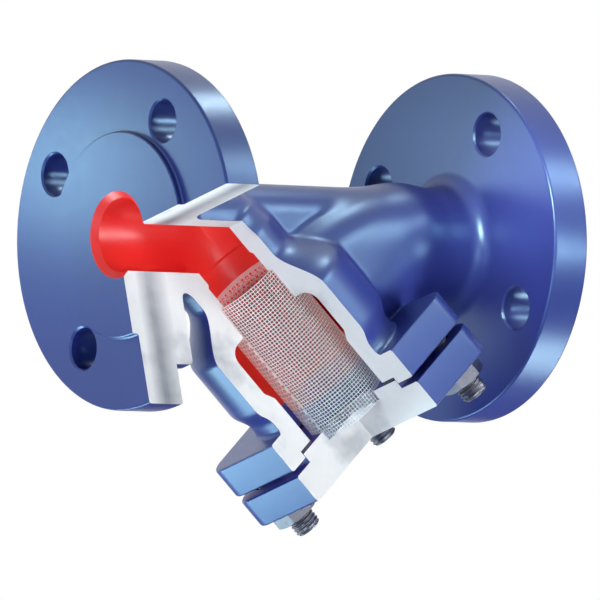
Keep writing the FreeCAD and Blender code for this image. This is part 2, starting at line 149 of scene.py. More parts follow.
def apply_modifiers(thing):
    depsgraph = bpy.context.evaluated_depsgraph_get()
    depsgraph.update()
    mesh = bpy.data.meshes.new_from_object(thing.evaluated_get(depsgraph), depsgraph=depsgraph)
    old = thing.data
    thing.modifiers.clear()
    thing.data = mesh
    mesh.name = thing.name
    if old.users == 0:
        bpy.data.meshes.remove(old)


def combine(thing, tools, operation, solver="MANIFOLD"):
    """Add tools to a thing or take them away from it, and drop the tools."""
    for tool in tools:
        step = thing.modifiers.new("combine", "BOOLEAN")
        step.operation = operation
        step.solver = solver
        step.object = tool
        apply_modifiers(thing)
        bpy.data.objects.remove(tool)
    return thing


def smooth(thing, degrees=32):
    mesh = thing.data
    mesh.shade_smooth()
    mesh.set_sharp_from_angle(angle=math.radians(degrees))
    even = thing.modifiers.new("even_normals", "WEIGHTED_NORMAL")
    even.keep_sharp = True


def ring_faces(rings, count):
    """The faces between rings of points, where a ring of one point closes an end."""
    faces = []
    for low, high in zip(rings, rings[1:]):
        for k in range(count):
            nxt = (k + 1) % count
            if len(low) == 1:
                faces.append((low[0], high[k], high[nxt]))
            elif len(high) == 1:
                faces.append((low[k], low[nxt], high[0]))
            else:
                faces.append((low[k], low[nxt], high[nxt], high[k]))
    return faces


def lathe(name, profile, count=128, matrix=None):
    """Turn a profile of (station, radius) about the X axis: a radius of 0 closes an end."""
    verts, rings = [], []
    for station, radius in profile:
        if radius == 0:
            rings.append([len(verts)])
            verts.append((station, 0, 0))
            continue
        rings.append(list(range(len(verts), len(verts) + count)))
        for k in range(count):
            turn = 2 * math.pi * k / count
            verts.append((station, radius * math.cos(turn), radius * math.sin(turn)))
    thing = new_object(name, verts, ring_faces(rings, count), matrix)
    outward(thing)
    return thing


def extrude(name, outline, start, end, matrix=None):
    """A prism whose outline of (y, z) points runs along X."""
    total = len(outline)
    verts = [(start, y, z) for y, z in outline] + [(end, y, z) for y, z in outline]
    faces = [tuple(range(total)), tuple(range(total, 2 * total))]
    for k in range(total):
        nxt = (k + 1) % total
        faces.append((k, nxt, total + nxt, total + k))
    thing = new_object(name, verts, faces, matrix)
    outward(thing)
    return thing


def plate(name, start, end):
    """The square plate of the body flange and of the cover, with broken edges."""
    rings = [(start, EDGE), (start + EDGE * 0.35, EDGE * 0.35), (start + EDGE, 0)]
    rings += [(end - EDGE, 0), (end - EDGE * 0.35, EDGE * 0.35), (end, EDGE)]
    verts, faces = [], []
    for station, inset in rings:
        verts += [(station, y, z) for y, z in rounded_square(SQUARE_HALF - inset, SQUARE_ROUND - inset)]
    total = len(verts) // len(rings)
    faces = [tuple(range(total)), tuple(range(len(verts) - total, len(verts)))]
    for ring in range(len(rings) - 1):
        for k in range(total):
            nxt = (k + 1) % total
            low = ring * total
            faces.append((low + k, low + nxt, low + total + nxt, low + total + k))
    thing = new_object(name, verts, faces, TO_BRANCH)
    outward(thing)
    return thing


def rounded_square(half, radius, steps=12):
    points = []
    for corner in range(4):
        middle = math.pi / 4 + corner * math.pi / 2
        cy = math.copysign(half - radius, math.cos(middle))
        cz = math.copysign(half - radius, math.sin(middle))
        for k in range(steps + 1):
            turn = corner * math.pi / 2 + k * math.pi / 2 / steps
            points.append((cy + radius * math.cos(turn), cz + radius * math.sin(turn)))
    return points


def arc(centre, radius, start, end, steps):
    """Points (station, radius) round an arc from one angle to another, in degrees."""
    points = []
    for k in range(steps + 1):
        turn = math.radians(start + (end - start) * k / steps)
        points.append((centre[0] + radius * math.cos(turn), centre[1] + radius * math.sin(turn)))
    return points


# Casting: a field of distances, smoothed where the forms meet, gives the cast skin between the
# flanges; flanges, passages and saw cuts are exact solids added to it or taken from it


def smooth_union(a, b, width):
    share = np.clip(0.5 + 0.5 * (b - a) / width, 0, 1)
    return b + (a - b) * share - width * share * (1 - share)


def capsule(x, y, z, start, end, radius):
    run = (end[0] - start[0], end[1] - start[1])
    share = ((x - start[0]) * run[0] + (z - start[1]) * run[1]) / (run[0] ** 2 + run[1] ** 2)
    share = np.clip(share, 0, 1)
    off_x = x - start[0] - share * run[0]
    off_z = z - start[1] - share * run[1]
    return np.sqrt(off_x ** 2 + y ** 2 + off_z ** 2) - radius


def eased(value, profile):
    """A radius that eases from level to level of a profile."""
    radius = np.full_like(value, profile[0][1])
    for (a, ra), (b, rb) in zip(profile, profile[1:]):
        share = np.clip((value - a) / (b - a), 0, 1)
        radius = radius + (rb - ra) * share * share * (3 - 2 * share)
    return radius


def rounded_box(points, half, radius):
    away = [np.abs(p) - (h - radius) for p, h in zip(points, half)]
    outside = np.sqrt(sum(np.maximum(a, 0) ** 2 for a in away))
    inside = np.minimum(np.maximum(np.maximum(away[0], away[1]), away[2]), 0)
    return outside + inside - radius


def casting_field(x, y, z):
    a, p = from_elbow(x, z)
    inlet_back = INLET_FACE + RAISED_HEIGHT + FLANGE_THICK
    outlet_back = OUTLET_FACE - RAISED_HEIGHT - FLANGE_THICK
    inlet_tube = capsule(x, y, z, (inlet_back - 10, 0), (ELBOW_X, 0), INLET_TUBE_R)
    outlet_tube = capsule(x, y, z, (TURN_X, 0), (outlet_back + 10, 0), OUTLET_TUBE_R)
    drop_end = (TURN_X - DROP_REACH * math.cos(DROP_ANGLE), -DROP_REACH * math.sin(DROP_ANGLE))
    drop = capsule(x, y, z, (TURN_X, 0), drop_end, OUTLET_TUBE_R)
    turn = np.clip(np.arctan2(TURN_X - x, z + BEND_R), 0, BEND_ANGLE)
    crown = np.sqrt(
        (x - TURN_X + BEND_R * np.sin(turn)) ** 2 + y ** 2 + (z + BEND_R - BEND_R * np.cos(turn)) ** 2
    ) - OUTLET_TUBE_R
    across = np.sqrt(p * p + y * y)
    branch = np.maximum((across - eased(a, BRANCH_OUTSIDE)) * 0.9, np.maximum(-a, a - FLANGE_END + 4))
    square = rounded_box(
        (a - (FLANGE_DEPTH + FLANGE_END) / 2, y, p),
        ((FLANGE_END - FLANGE_DEPTH) / 2 - 1, SQUARE_HALF - 1, SQUARE_HALF - 1), 0.1)
    corner = np.sqrt(
        np.maximum(np.abs(y) - SQUARE_HALF + SQUARE_ROUND, 0) ** 2
        + np.maximum(np.abs(p) - SQUARE_HALF + SQUARE_ROUND, 0) ** 2) - SQUARE_ROUND + 1
    square = np.maximum(square, corner)
    spine_top = INLET_TUBE_R - SPINE_HALF
    spine = np.sqrt(y * y + np.maximum(np.abs(z) - spine_top, 0) ** 2) - SPINE_HALF
    spine = np.maximum(spine, np.maximum(ELBOW_X - x, x - TURN_X))
    pad = rounded_box(
        (x - inlet_back, y, z + PAD_REACH / 2), (PAD_LENGTH, PAD_HALF, PAD_REACH / 2), 2.0)
    hubs = np.minimum(x - inlet_back + 0.4, outlet_back + 0.4 - x)
    hubs = np.maximum(hubs + 1, np.sqrt(y * y + z * z) - HUB_DISC_R)
    outlet_side = smooth_union(smooth_union(outlet_tube, drop, 4), crown, 4)
    field = smooth_union(inlet_tube, branch, 3.5)
    field = smooth_union(field, spine, 1.5)
    field = smooth_union(field, outlet_side, 2.2)
    field = smooth_union(field, square, 4)
    field = smooth_union(field, pad, 3)
    field = smooth_union(field, hubs, 2)
    return np.maximum(field, np.maximum(inlet_back - 8 - x, x - outlet_back - 8))


def surface_of(name, field, low, high, step):
    """The skin where a field is zero: one point in each cell that the skin crosses."""
    axes = [np.arange(lo, hi + step, step) for lo, hi in zip(low, high)]
    x, y, z = np.meshgrid(*axes, indexing="ij")
    values = field(x, y, z)
    inside = values < 0
    shape = [n - 1 for n in values.shape]
    total = np.zeros(shape + [3])
    count = np.zeros(shape)
    offsets = [(i, j, k) for i in (0, 1) for j in (0, 1) for k in (0, 1)]

    def corner(grid, offset):
        return grid[tuple(slice(o, o + n) for o, n in zip(offset, shape))]

    for one in offsets:
        for axis in range(3):
            if one[axis]:
                continue
            other = list(one)
            other[axis] = 1
            first, second = corner(values, one), corner(values, other)
            crossed = (first < 0) != (second < 0)
            share = np.where(crossed, first / np.where(crossed, first - second, 1), 0)
            for k in range(3):
                total[..., k] += np.where(crossed, one[k] + (share if k == axis else 0), 0)
            count += crossed
    filled = count > 0
    index = np.full(shape, -1)
    index[filled] = np.arange(filled.sum())
    cells = np.argwhere(filled)
    points = (cells + total[filled] / count[filled][:, None]) * step + np.array(low)
    faces = []
    for axis in range(3):
        u, v = (axis + 1) % 3, (axis + 2) % 3
        lower = [slice(None)] * 3
        upper = [slice(None)] * 3
        lower[axis] = slice(0, -1)
        upper[axis] = slice(1, None)
        change = inside[tuple(lower)].astype(int) - inside[tuple(upper)].astype(int)
        at = np.argwhere(change != 0)
        for side in (u, v):
            at = at[(at[:, side] > 0) & (at[:, side] < values.shape[side] - 1)]
        sign = change[tuple(at.T)]
        ring = []
        for du, dv in ((-1, -1), (0, -1), (0, 0), (-1, 0)):
            cell = at.copy()
            cell[:, u] += du
            cell[:, v] += dv
            ring.append(index[tuple(cell.T)])
        quads = np.stack(ring, axis=1)
        quads[sign < 0] = quads[sign < 0][:, ::-1]
        faces.append(quads)
    return new_object(name, points, np.concatenate(faces).tolist())


def flange(name, face, direction, tube):
    """One end flange with its hub, as a turned solid: direction is +1 when its face looks along -X."""
    edge = 1.2
    disc = RAISED_HEIGHT + FLANGE_THICK
    profile = [(0, 0), (0, RAISED_R - 0.5)]
    profile += [(0.5, RAISED_R), (RAISED_HEIGHT - 0.6, RAISED_R), (RAISED_HEIGHT, RAISED_R + 0.6)]
    profile += arc((RAISED_HEIGHT + edge, FLANGE_R - edge), edge, 180, 90, 5)
    profile += arc((disc - edge, FLANGE_R - edge), edge, 90, 0, 5)
    profile += arc((disc + HUB_FILLET, tube + HUB_FILLET), HUB_FILLET, 180, 270, 12)
    profile += [(disc + HUB_FILLET, 0)]
    return lathe(name, [(face + direction * s, r) for s, r in profile], count=192)


def passage(name, stations, bend, lead, fall, count=96):
    """A mitred hollow: stations are (distance, radius) from the bend, negative before it."""
    verts, rings = [], []
    start_dir, end_dir = Vector(lead), Vector(fall)
    normal = (start_dir + end_dir).normalized()
    for distance, radius in stations:
        direction = start_dir if distance <= 0 else end_dir
        centre = Vector(bend) + direction * distance
        side = Vector((0, 1, 0))
        up = side.cross(direction)
        if radius == 0:
            rings.append([len(verts)])
            verts.append(tuple(centre))
            continue
        rings.append(list(range(len(verts), len(verts) + count)))
        for k in range(count):
            turn = 2 * math.pi * k / count
            point = centre + side * radius * math.cos(turn) + up * radius * math.sin(turn)
            if distance == 0:
                point -= direction * ((point - centre).dot(normal) / direction.dot(normal))
            verts.append(tuple(point))
    thing = new_object(name, verts, ring_faces(rings, count))
    outward(thing)
    return thing


CHAMBER_PROFILE = [
    (SEAT_DEPTH, GUIDE_R),
    (GUIDE_END, GUIDE_R),
    (GUIDE_END, CHAMBER_R - CHAMBER_ROUND),
    *arc((GUIDE_END + CHAMBER_ROUND, CHAMBER_R - CHAMBER_ROUND), CHAMBER_ROUND, 180, 90, 8),
    (CHAMBER_FULL, CHAMBER_R),
    (CHAMBER_NARROW, CHAMBER_MOUTH_R),
    (RECESS_FLOOR, CHAMBER_MOUTH_R),
    (RECESS_FLOOR, RECESS_R),
    (FLANGE_END + 30, RECESS_R),
]


def inlet_hollow():
    before = ELBOW_X - INLET_FACE
    stations = [
        (-before - 20, 0),
        (-before - 20, PORT_R + MOUTH_CHAMFER),
        (-before, PORT_R + MOUTH_CHAMFER),
        (-before + MOUTH_CHAMFER, PORT_R),
        (0, PORT_R),
        (THROAT_START, PORT_R),
        (THROAT_START + THROAT_R - PORT_R, THROAT_R),
        (SEAT_DEPTH, THROAT_R),
        *CHAMBER_PROFILE,
        (FLANGE_END + 30, 0),
    ]
    return passage("inlet_hollow", stations, (ELBOW_X, 0, 0), (1, 0, 0), ALONG_BRANCH)


def outlet_hollow():
    before = OUTLET_FACE - TURN_X
    stations = [
        (-before - 20, 0),
        (-before - 20, PORT_R + MOUTH_CHAMFER),
        (-before, PORT_R + MOUTH_CHAMFER),
        (-before + MOUTH_CHAMFER, PORT_R),
        (0, PORT_R),
        (DROP_REACH + 6, PORT_R),
        (DROP_REACH + 6, 0),
    ]
    fall = (-math.cos(DROP_ANGLE), 0, -math.sin(DROP_ANGLE))
    return passage("outlet_hollow", stations, (TURN_X, 0, 0), (-1, 0, 0), fall)


def bolt_hole(face, y, z):
    chamfer = 0.8
    low, high = face - 1, face + FLANGE_THICK + 1
    profile = [
        (low, 0), (low, BOLT_HOLE_R + chamfer + 1), (face + chamfer, BOLT_HOLE_R),
        (face + FLANGE_THICK - chamfer, BOLT_HOLE_R), (high, BOLT_HOLE_R + chamfer + 1), (high, 0),
    ]
    return lathe("bolt_hole", profile, count=64, matrix=Matrix.Translation((0, y, z)))


def window_block():
    """The sawn quarter: in front of the middle plane and under the bent flow line."""
    reach = STUD_END + 60
    line = [
        (INLET_FACE - 40, 0), (ELBOW_X, 0),
        (ELBOW_X + reach * COS_B, -reach * SIN_B), (INLET_FACE - 40, -reach * SIN_B),
    ]
    verts = [(x, 0, z) for x, z in line] + [(x, -FLANGE_R * 2, z) for x, z in line]
    faces = [(0, 1, 2, 3), (4, 5, 6, 7)] + [(k, (k + 1) % 4, 4 + (k + 1) % 4, 4 + k) for k in range(4)]
    thing = new_object("window_block", verts, faces)
    outward(thing)
    return thing


def quarter_block():
    """The same saw cut for what is drawn along the branch."""
    verts = [(s, y, z) for s in (60, 160) for y, z in ((0, 0), (-90, 0), (-90, -90), (0, -90))]
    faces = [(0, 1, 2, 3), (4, 5, 6, 7)] + [(k, (k + 1) % 4, 4 + (k + 1) % 4, 4 + k) for k in range(4)]
    thing = new_object("quarter_block", verts, faces, TO_BRANCH)
    outward(thing)
    return thing


def make_casting():
    step = 0.9
    low = (INLET_FACE + 8, -50, -110)
    high = (OUTLET_FACE - 8, 50, 50)
    casting = surface_of("casting", casting_field, low, high, step)
    flanges = [
        flange("inlet_flange", INLET_FACE, 1, INLET_TUBE_R),
        flange("outlet_flange", OUTLET_FACE, -1, OUTLET_TUBE_R),
    ]
    combine(casting, [*flanges, plate("body_flange", FLANGE_DEPTH, FLANGE_END)], "UNION")
    across = BOLT_CIRCLE_R * math.cos(math.radians(45))
    holes = [
        bolt_hole(face, y, z)
        for face in (INLET_FACE + RAISED_HEIGHT, OUTLET_FACE - RAISED_HEIGHT - FLANGE_THICK)
        for y in (across, -across) for z in (across, -across)
    ]
    combine(casting, [inlet_hollow(), outlet_hollow(), *holes, window_block()], "DIFFERENCE")
    return casting


def make_cover():
    spigot = RECESS_R - SPIGOT_GAP
    cover = plate("cover_shell", COVER_TOP, COVER_END)
    ring = lathe("spigot", [
        (SPIGOT_FACE, 0), (SPIGOT_FACE, spigot), (COVER_TOP + 2, spigot), (COVER_TOP + 2, 0),
    ], matrix=TO_BRANCH)
    combine(cover, [ring], "UNION")
    socket = lathe("socket", [
        (SPIGOT_FACE - 5, 0), (SPIGOT_FACE - 5, GUIDE_R), (SOCKET_FLOOR, GUIDE_R), (SOCKET_FLOOR, 0),
    ], matrix=TO_BRANCH)
    holes = [
        lathe("stud_hole", [
            (COVER_TOP - 5, 0), (COVER_TOP - 5, STUD_HOLE_R),
            (COVER_END + 5, STUD_HOLE_R), (COVER_END + 5, 0),
        ], count=48, matrix=TO_BRANCH @ Matrix.Translation((0, y, z)))
        for y, z in CORNERS.values()
    ]
    combine(cover, [socket, *holes, quarter_block()], "DIFFERENCE")
    return cover


def make_gasket():
    profile = [
        (RECESS_FLOOR, CHAMBER_MOUTH_R), (RECESS_FLOOR, RECESS_R - SPIGOT_GAP),
        (SPIGOT_FACE, RECESS_R - SPIGOT_GAP), (SPIGOT_FACE, CHAMBER_MOUTH_R),
        (RECESS_FLOOR, CHAMBER_MOUTH_R),
    ]
    gasket = lathe("gasket_ring", profile, matrix=TO_BRANCH)
    bm = bmesh.new()
    bm.from_mesh(gasket.data)
    bmesh.ops.remove_doubles(bm, verts=bm.verts, dist=1e-7)
    bmesh.ops.recalc_face_normals(bm, faces=bm.faces)
    bm.to_mesh(gasket.data)
    bm.free()
    return combine(gasket, [quarter_block()], "DIFFERENCE")


# Screen


def wire_tube(verts, faces, path, radius, closed, sides=6):
    """A round wire along a path of points."""
    total = len(path)
    start = len(verts)
    for k, point in enumerate(path):
        before = path[(k - 1) % total] if closed or k else point
        after = path[(k + 1) % total] if closed or k < total - 1 else point
        direction = (after - before).normalized()
        out = Vector((0, point.y, point.z)).normalized()
        out = (out - direction * out.dot(direction)).normalized()
        side = direction.cross(out)
        for s in range(sides):
            turn = 2 * math.pi * s / sides
            verts.append(point + out * (radius * math.cos(turn)) + side * (radius * math.sin(turn)))
    for k in range(total if closed else total - 1):
        low = start + k * sides
        high = start + ((k + 1) % total) * sides
        for s in range(sides):
            nxt = (s + 1) % sides
            faces.append((low + s, low + nxt, high + nxt, high + s))
    if not closed:
        faces.append(tuple(start + s for s in range(sides)))
        last = start + (total - 1) * sides
        faces.append(tuple(last + s for s in reversed(range(sides))))


WIRE_R = 0.18
AROUND = 80
RINGS = 51


def make_sleeve():
    verts, faces = [], []
    pitch = (SOCKET_FLOOR - SEAT_DEPTH - 2 * WIRE_R) / (RINGS - 1)
    first = SEAT_DEPTH + WIRE_R
    lift = WIRE_R * 0.95
    for k in range(AROUND):
        turn = 2 * math.pi * (k + 0.5) / AROUND
        path = []
        for n in range(2 * RINGS - 1):
            over = (-1) ** (n // 2 + k) if n % 2 == 0 else 0
            radius = SLEEVE_MIDDLE + lift * over
            path.append(Vector((first + pitch * n / 2, radius * math.cos(turn), radius * math.sin(turn))))
        wire_tube(verts, faces, path, WIRE_R, closed=False)
    for n in range(RINGS):
        path = []
        for k in range(2 * AROUND):
            over = -((-1) ** (k // 2 + n)) if k % 2 == 1 else 0
            turn = math.pi * k / AROUND
            radius = SLEEVE_MIDDLE + lift * over
            path.append(Vector((first + pitch * n, radius * math.cos(turn), radius * math.sin(turn))))
        wire_tube(verts, faces, path, WIRE_R, closed=True)
    thing = new_object("sleeve_weave", verts, faces, TO_BRANCH)
    outward(thing)
    return thing


def punched_sheet(length, width):
    """A flat sheet with round holes in staggered rows, as (points, triangles)."""
    hole_r = 1.0
    hole_sides = 12
    columns = 25
    steps_u, steps_v = 40, 48
    pitch = width / columns
    row_pitch = pitch * math.sin(math.radians(60))
    rows = int((length - 3.0) / row_pitch)
    margin = (length - (rows - 1) * row_pitch) / 2
    outlines = []
    for row in range(rows):
        for column in range(columns + 1):
            u = margin + row * row_pitch
            v = (column + 0.5 * (row % 2)) * pitch
            if v < hole_r + 0.2 or v > width - hole_r - 0.2:
                continue
            turns = [2 * math.pi * s / hole_sides for s in range(hole_sides)]
            outlines.append([(u + hole_r * math.cos(turn), v + hole_r * math.sin(turn)) for turn in turns])
    border = [(0, width * k / steps_v) for k in range(steps_v)]
    border += [(length * k / steps_u, width) for k in range(steps_u)]
    border += [(length, width * (1 - k / steps_v)) for k in range(steps_v)]
    border += [(length * (1 - k / steps_u), 0) for k in range(steps_u)]
    outlines.append(border)
    sheet = bmesh.new()
    for outline in outlines:
        ring = [sheet.verts.new((u, v, 0)) for u, v in outline]
        for first, second in zip(ring, ring[1:] + ring[:1]):
            sheet.edges.new((first, second))
    bmesh.ops.triangle_fill(sheet, use_beauty=True, use_dissolve=False, edges=sheet.edges[:])
    mesh = bpy.data.meshes.new("basket_sheet")
    sheet.to_mesh(mesh)
    sheet.free()
    points = [(v.co.x, v.co.y) for v in mesh.vertices]
    triangles = [tuple(p.vertices) for p in mesh.polygons]
    bpy.data.meshes.remove(mesh)
    return points, triangles


def make_basket():
    """The punched sheet, rolled to the back half of a tube."""
    points, triangles = punched_sheet(SOCKET_FLOOR - SEAT_DEPTH, math.pi * BASKET_OUTER)
    total = len(points)
    verts = []
    for radius in (BASKET_OUTER, BASKET_INNER):
        for u, v in points:
            turn = v / BASKET_OUTER
            verts.append((SEAT_DEPTH + u, radius * math.sin(turn), radius * math.cos(turn)))
    faces = triangles + [tuple(total + v for v in reversed(triangle)) for triangle in triangles]
    edge_use = {}
    for triangle in triangles:
        for a, b in zip(triangle, triangle[1:] + triangle[:1]):
            edge_use.setdefault(frozenset((a, b)), []).append((a, b))
    for uses in edge_use.values():
        if len(uses) == 1:
            a, b = uses[0]
            faces.append((b, a, total + a, total + b))
    thing = new_object("basket_sheet", verts, faces, TO_BRANCH)
    outward(thing)
    return thing


# Fasteners


def make_stud(name, y, z):
    """A threaded stud: the thread is a true helix."""
    pitch = 1.75
    start = FLANGE_END - 6
    depth = 0.65
    count = 40
    chamfer = 1.0
    steps = int((STUD_END - start) / pitch * 8)
    verts, faces = [], []
    for n in range(steps + 1):
        station = start + (STUD_END - start) * n / steps
        limit = STUD_R - max(0, station - (STUD_END - chamfer))
        for k in range(count):
            turn = 2 * math.pi * k / count
            phase = ((station / pitch) - k / count) % 1
            groove = depth * (0.5 - 0.5 * math.cos(2 * math.pi * phase))
            radius = min(STUD_R - groove, limit)
            verts.append((station, radius * math.cos(turn), radius * math.sin(turn)))
    for n in range(steps):
        for k in range(count):
            nxt = (k + 1) % count
            faces.append((n * count + k, n * count + nxt, (n + 1) * count + nxt, (n + 1) * count + k))
    faces.append(tuple(range(count)))
    faces.append(tuple(steps * count + k for k in range(count)))
    thing = new_object(name, verts, faces, TO_BRANCH @ Matrix.Translation((0, y, z)))
    outward(thing)
    return thing


def make_nut(name, y, z):
    corner = NUT_FLAT / math.cos(math.radians(30))
    turns = [math.radians(60 * k) for k in range(6)]
    hexagon = [(corner * math.cos(turn), corner * math.sin(turn)) for turn in turns]
    place = TO_BRANCH @ Matrix.Translation((0, y, z))
    top = COVER_END + NUT_HEIGHT
    nut = extrude(name, hexagon, COVER_END, top, place)
    drop = corner - NUT_FLAT
    crown = lathe("crown", [
        (COVER_END, 0), (COVER_END, NUT_FLAT + 0.2), (COVER_END + drop * 0.6, corner + 0.1),
        (top - drop * 0.6, corner + 0.1), (top, NUT_FLAT - 0.2), (top, 0)], count=96, matrix=place)
    combine(nut, [crown], "INTERSECT")
    bore_r = STUD_R + 0.05
    bore = lathe("bore", [
        (COVER_END - 1, 0), (COVER_END - 1, bore_r + 1.5), (COVER_END + 0.5, bore_r), (top - 0.5, bore_r),
        (top + 1, bore_r + 1.5), (top + 1, 0)], count=48, matrix=place)
    return combine(nut, [bore], "DIFFERENCE")


# Materials


class Shader:
    """A node material: each call adds a node and wires it."""

    def __init__(self, name):
        self.material = bpy.data.materials.new(name)
        self.material.use_nodes = True
        self.tree = self.material.node_tree
        self.tree.nodes.clear()
        self.out = self.tree.nodes.new("ShaderNodeOutputMaterial")
        self.surface = self.tree.nodes.new("ShaderNodeBsdfPrincipled")
        self.tree.links.new(self.surface.outputs["BSDF"], self.out.inputs["Surface"])
        self.coords = self.tree.nodes.new("ShaderNodeTexCoord").outputs["Object"]

    def node(self, kind, **values):
        node = self.tree.nodes.new(kind)
        for key, value in values.items():
            setattr(node, key, value)
        return node

    def wire(self, output, node, name):
        self.tree.links.new(output, node.inputs[name])

    def noise(self, scale, detail=3.0, rough=0.5):
        node = self.node("ShaderNodeTexNoise")
        node.inputs["Scale"].default_value = scale
        node.inputs["Detail"].default_value = detail
        node.inputs["Roughness"].default_value = rough
        self.wire(self.coords, node, "Vector")
        return node.outputs["Fac"]

    def ramp(self, factor, stops):
        node = self.node("ShaderNodeValToRGB")
        while len(node.color_ramp.elements) < len(stops):
            node.color_ramp.elements.new(0.5)
        for element, (spot, colour) in zip(node.color_ramp.elements, stops):
            element.position = spot
            element.color = (*colour, 1)
        self.wire(factor, node, "Fac")
        return node.outputs["Color"]

    def mix(self, factor, first, second):
        node = self.node("ShaderNodeMix", data_type="RGBA")
        self.wire(factor, node, "Factor")
        self.wire(first, node, "A")
        self.wire(second, node, "B")
        return node.outputs["Result"]

    def spread(self, factor, low, high):
        node = self.node("ShaderNodeMapRange")
        node.inputs["To Min"].default_value = low
        node.inputs["To Max"].default_value = high
        self.wire(factor, node, "Value")
        return node.outputs["Result"]

    def bump(self, height, strength, distance):
        node = self.node("ShaderNodeBump")
        node.inputs["Strength"].default_value = strength
        node.inputs["Distance"].default_value = distance
        self.wire(height, node, "Height")
        self.wire(node.outputs["Normal"], self.surface, "Normal")

    def along(self, direction, start, end):
        """0 before a place along a direction and 1 after it, in millimetres from the origin."""
        dot = self.node("ShaderNodeVectorMath", operation="DOT_PRODUCT")
        self.wire(self.coords, dot, 0)
        dot.inputs[1].default_value = direction
        place = self.node("ShaderNodeMapRange")
        place.inputs["From Min"].default_value = start * MM
        place.inputs["From Max"].default_value = end * MM
        self.wire(dot.outputs["Value"], place, "Value")
        return place.outputs["Result"]


def paint_material():
    shader = Shader("blue_paint")
    tone = shader.noise(9, 3)
    colour = shader.ramp(tone, [(0.3, (0.02, 0.022, 0.16)), (0.7, (0.028, 0.04, 0.24))])
    shader.wire(colour, shader.surface, "Base Color")
    grain = shader.noise(260, 4)
    shader.wire(shader.spread(grain, 0.28, 0.38), shader.surface, "Roughness")
    shader.surface.inputs["Specular IOR Level"].default_value = 1.0
    shader.surface.inputs["Specular Tint"].default_value = (0.4, 0.72, 1.0, 1)
    shader.bump(shader.noise(300, 3, 0.5), 0.06, 0.0003)
    return shader.material


def section_material():
    """A pale sawn face with grey streaks at random, and painted shade: one darker grey band down the inlet
    flange's foot.
    """
    foot_shade_start = INLET_FACE + 6
    foot_shade_end = INLET_FACE + 23
    shader = Shader("sawn_face")
    tone = shader.noise(26, 4, 0.55)
    pale = shader.ramp(tone, [
        (0.32, (0.5, 0.51, 0.53)), (0.46, (0.84, 0.84, 0.83)), (0.7, (0.93, 0.92, 0.9)),
    ])
    # Painted shade: this grey is laid on a band across X at the inlet flange's foot, below.
    grey = shader.ramp(tone, [(0.35, (0.2, 0.21, 0.24)), (0.65, (0.44, 0.45, 0.48))])
    foot_shade = shader.node("ShaderNodeMath", operation="MULTIPLY")
    shader.wire(shader.along((1, 0, 0), foot_shade_start, foot_shade_start + 6), foot_shade, 0)
    shader.wire(shader.along((-1, 0, 0), -foot_shade_end, -foot_shade_end + 9), foot_shade, 1)
    shader.wire(shader.mix(foot_shade.outputs["Value"], pale, grey), shader.surface, "Base Color")
    shader.wire(shader.spread(shader.noise(90, 3), 0.45, 0.65), shader.surface, "Roughness")
    shader.bump(shader.noise(700, 3), 0.1, 0.0002)
    return shader.material


def socket_material():
    shader = Shader("machined_socket")
    tone = shader.noise(60, 3)
    colour = shader.ramp(tone, [(0.3, (0.5, 0.62, 0.66)), (0.7, (0.66, 0.76, 0.8))])
    shader.wire(colour, shader.surface, "Base Color")
    shader.wire(shader.spread(tone, 0.3, 0.5), shader.surface, "Roughness")
    shader.bump(shader.noise(500, 3), 0.1, 0.0002)
    return shader.material


def interior_material():
    """Red in the casting and blue past the screen's foot, with painted light: the coating glows a little in
    its own colour in front of the screen, and behind the screen the glow drops as painted shade.
    """
    shader = Shader("passage_coating")
    tone = shader.noise(22, 3)
    red = shader.ramp(tone, [(0.3, (0.66, 0.014, 0.02)), (0.7, (0.78, 0.04, 0.025))])
    blue = shader.ramp(tone, [(0.3, (0.03, 0.032, 0.2)), (0.7, (0.05, 0.07, 0.32))])
    change = ELBOW_X * COS_B + 81
    split = shader.along(ALONG_BRANCH, change - 0.5, change + 0.5)
    coating = shader.mix(split, red, blue)
    shader.wire(coating, shader.surface, "Base Color")
    shader.wire(coating, shader.surface, "Emission Color")
    # Painted light and shade: the coating glows in its own colour at 0.22, falling to 0.02 deeper than the
    # mouth on the far side of the branch's axis, where the screen shades the wall.
    level = shader.node("ShaderNodeMath", operation="MULTIPLY")
    mouth = ELBOW_X * COS_B + SEAT_DEPTH
    axis = ELBOW_X * SIN_B
    shader.wire(shader.along(ALONG_BRANCH, mouth, mouth + 8), level, 0)
    shader.wire(shader.along(ACROSS_BRANCH, axis - 1, axis + 4), level, 1)
    shader.wire(shader.spread(level.outputs["Value"], 0.22, 0.02), shader.surface, "Emission Strength")
    shader.wire(shader.spread(shader.noise(120, 3), 0.3, 0.45), shader.surface, "Roughness")
    shader.bump(shader.noise(380, 4), 0.15, 0.0004)
    return shader.material


def metal_material(name, colour, rough, scale):
    shader = Shader(name)
    tone = shader.noise(scale, 4)
    darker = tuple(c * 0.8 for c in colour)
    shader.wire(shader.ramp(tone, [(0.3, darker), (0.7, colour)]), shader.surface, "Base Color")
    shader.surface.inputs["Metallic"].default_value = 1.0
    grain = shader.noise(scale * 3, 3)
    shader.wire(shader.spread(grain, rough * 0.8, rough * 1.3), shader.surface, "Roughness")
    shader.bump(shader.noise(scale * 4, 3), 0.1, 0.0002)
    return shader.material


